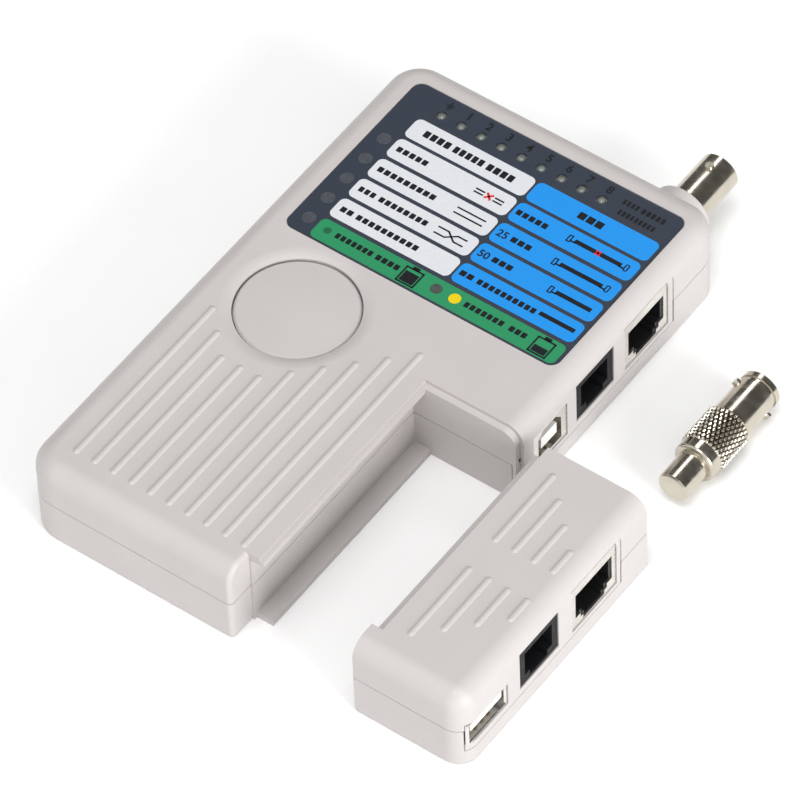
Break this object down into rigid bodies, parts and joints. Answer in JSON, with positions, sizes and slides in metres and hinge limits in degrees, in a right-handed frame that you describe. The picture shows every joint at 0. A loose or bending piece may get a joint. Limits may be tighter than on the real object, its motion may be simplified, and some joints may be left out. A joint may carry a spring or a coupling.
{
  "type": "network cable tester",
  "caption": "Handheld network cable tester: main unit with lamp display, round test button, network, phone, USB and coax sockets, a docking remote unit and a loose coax terminator.",
  "frame": {"origin": "centre of the main unit's flat underside", "axes": "+X towards the socket side, +Y towards the coax jack, +Z out of the display face"},
  "size_m": [0.1175, 0.1616, 0.0229],
  "materials": {
    "shell_plastic": "satin",
    "button_plastic": "satin",
    "label_film": "semi-gloss",
    "lamp_green": "glossy",
    "board_green": "semi-gloss",
    "chip_black": "matte",
    "part_beige": "matte",
    "switch_black": "satin",
    "socket_steel": "satin",
    "socket_black": "satin",
    "contact_gold": "polished",
    "tongue_white": "satin",
    "plated_nickel": "polished",
    "insulator_white": "satin",
    "battery_jacket": "semi-gloss",
    "snap_black": "satin",
    "lead_red": "satin",
    "lead_black": "satin",
    "screw_steel": "satin"
  },
  "bodies": {
    "main_unit": {"main_top_shell": "shell_plastic", "main_bottom_shell": "shell_plastic", "display_label": "label_film", "wire_lamps": "lamp_green", "state_lamps": "lamp_green", "battery_lamp": "lamp_green", "test_switch": "switch_black", "button_spring": "screw_steel", "main_board": "board_green", "control_chip": "chip_black", "lamp_resistors": "part_beige", "main_rj45_shield": "socket_steel", "main_rj45_insert": "socket_black", "main_rj45_contacts": "contact_gold", "main_rj11_housing": "socket_black", "main_rj11_contacts": "contact_gold", "main_usb_b_shell": "socket_steel", "main_usb_b_tongue": "tongue_white", "main_usb_b_contacts": "contact_gold", "bnc_jack_body": "plated_nickel", "bnc_jack_insulator": "insulator_white", "bnc_jack_contact": "contact_gold", "battery": "battery_jacket", "battery_terminals": "screw_steel", "battery_snap": "snap_black", "battery_lead_positive": "lead_red", "battery_lead_negative": "lead_black", "main_case_screws": "screw_steel"},
    "test_button": {"button_cap": "button_plastic", "switch_plunger": "switch_black"},
    "battery_door": {"battery_door": "shell_plastic"},
    "bnc_terminator": {"terminator_cap": "plated_nickel", "terminator_sleeve": "plated_nickel", "terminator_barrel": "plated_nickel", "terminator_insulator": "insulator_white", "terminator_contact": "contact_gold", "terminator_resistor": "part_beige"},
    "remote_unit": {"remote_top_shell": "shell_plastic", "remote_bottom_shell": "shell_plastic", "remote_board": "board_green", "remote_diodes": "chip_black", "remote_case_screws": "screw_steel", "remote_rj45_shield": "socket_steel", "remote_rj45_insert": "socket_black", "remote_rj45_contacts": "contact_gold", "remote_rj11_housing": "socket_black", "remote_rj11_contacts": "contact_gold", "remote_usb_a_shell": "socket_steel", "remote_usb_a_tongue": "tongue_white", "remote_usb_a_contacts": "contact_gold"}
  },
  "joints": [
    {"name": "test_press", "type": "slide", "parent": "main_unit", "child": "test_button", "axis": [0, 0, -1], "range_m": [0, 0.0012], "stiffness_N_per_m": 600, "springref_m": -0.0005, "deforming": ["button_spring"]},
    {"name": "door_hinge", "type": "hinge", "parent": "main_unit", "child": "battery_door", "pos_m": [-0.0139, -0.0186, 0.00015], "axis": [1, 0, 0], "range_deg": [0, 75]},
    {"name": "remote_dock", "type": "slide", "parent": "main_unit", "child": "remote_unit", "axis": [1, 0, 0], "range_m": [-0.0324, 0]},
    {"name": "terminator_slide", "type": "slide", "parent": "main_unit", "child": "bnc_terminator", "axis": [0, 1, 0], "range_m": [0, 0.02]}
  ]
}
